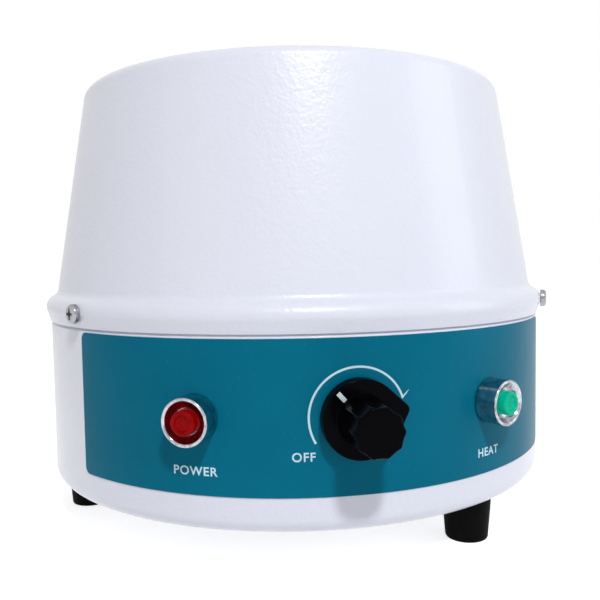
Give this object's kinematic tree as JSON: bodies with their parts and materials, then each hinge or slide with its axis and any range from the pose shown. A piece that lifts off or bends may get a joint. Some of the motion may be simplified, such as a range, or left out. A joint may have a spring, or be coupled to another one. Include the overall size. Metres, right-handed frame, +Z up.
{
  "type": "heating mantle",
  "caption": "Round laboratory heating mantle: spun metal housing round a knitted nest for a one-litre flask, with a turning heat knob, pilot lamps and rubber feet.",
  "frame": {"origin": "on the body's axis, at the level that the feet stand on", "axes": "+Z up, -Y towards the user and the control panel, +X to the right seen from the front"},
  "size_m": [0.2442, 0.2902, 0.199],
  "materials": {
    "white_enamel": "fine-textured powder coat",
    "panel_film": "satin printed film",
    "chrome": "polished",
    "red_lens": "clear red",
    "green_lens": "clear green",
    "black_knob": "moulded, glossy",
    "pointer_paint": "filled line",
    "black_rubber": "moulded",
    "black_nylon": "moulded",
    "steel": "zinc plated",
    "brass": "plain",
    "ceramic": "fired, unglazed",
    "glass_yarn": "knitted",
    "glass_wool": "packed wool",
    "heating_wire": "oxidised",
    "wire_sleeve": "silicone sleeve"
  },
  "bodies": {
    "mantle": {"base_drum": "white_enamel", "cable_gland_body": "black_nylon", "cable_gland_cap": "black_nylon", "cable_gland_locknut": "black_nylon", "cable_gland_seal": "black_rubber", "control_panel_plate": "panel_film", "earth_nut": "steel", "earth_screw": "steel", "earth_washer": "steel", "element_leads": "wire_sleeve", "foot_front_right": "black_rubber", "foot_left": "black_rubber", "foot_nuts": "steel", "foot_rear_right": "black_rubber", "foot_screws": "steel", "foot_washers": "steel", "heat_lamp_bezel": "chrome", "heat_lamp_body": "black_nylon", "heat_lamp_lens": "green_lens", "heat_lamp_nut": "steel", "heat_lamp_terminals": "brass", "heat_lamp_wires": "wire_sleeve", "heat_shield": "steel", "heating_element": "heating_wire", "heating_nest": "glass_yarn", "housing_rivet_nuts": "steel", "housing_screws": "steel", "insulation_wool": "glass_wool", "lead_bushes": "ceramic", "nest_hoop": "steel", "power_lamp_bezel": "chrome", "power_lamp_body": "black_nylon", "power_lamp_lens": "red_lens", "power_lamp_nut": "steel", "power_lamp_terminals": "brass", "power_lamp_wires": "wire_sleeve", "regulator_bush_plate": "steel", "regulator_case": "black_nylon", "regulator_nut": "steel", "regulator_terminals": "brass", "regulator_washer": "steel", "regulator_wires": "wire_sleeve", "shield_nuts": "steel", "shield_screws": "steel", "terminal_block": "ceramic", "terminal_block_nuts": "steel", "terminal_block_screws": "steel", "terminal_inserts": "brass", "terminal_screws": "steel", "upper_housing": "white_enamel"},
    "knob": {"control_knob": "black_knob", "knob_pointer": "pointer_paint", "regulator_shaft": "steel", "knob_set_screw": "steel"}
  },
  "joints": [
    {"name": "control_knob_turn", "type": "hinge", "parent": "mantle", "child": "knob", "pos_m": [0, -0.12, 0.06125], "axis": [0, 1, 0], "range_deg": [-78, 192]}
  ]
}
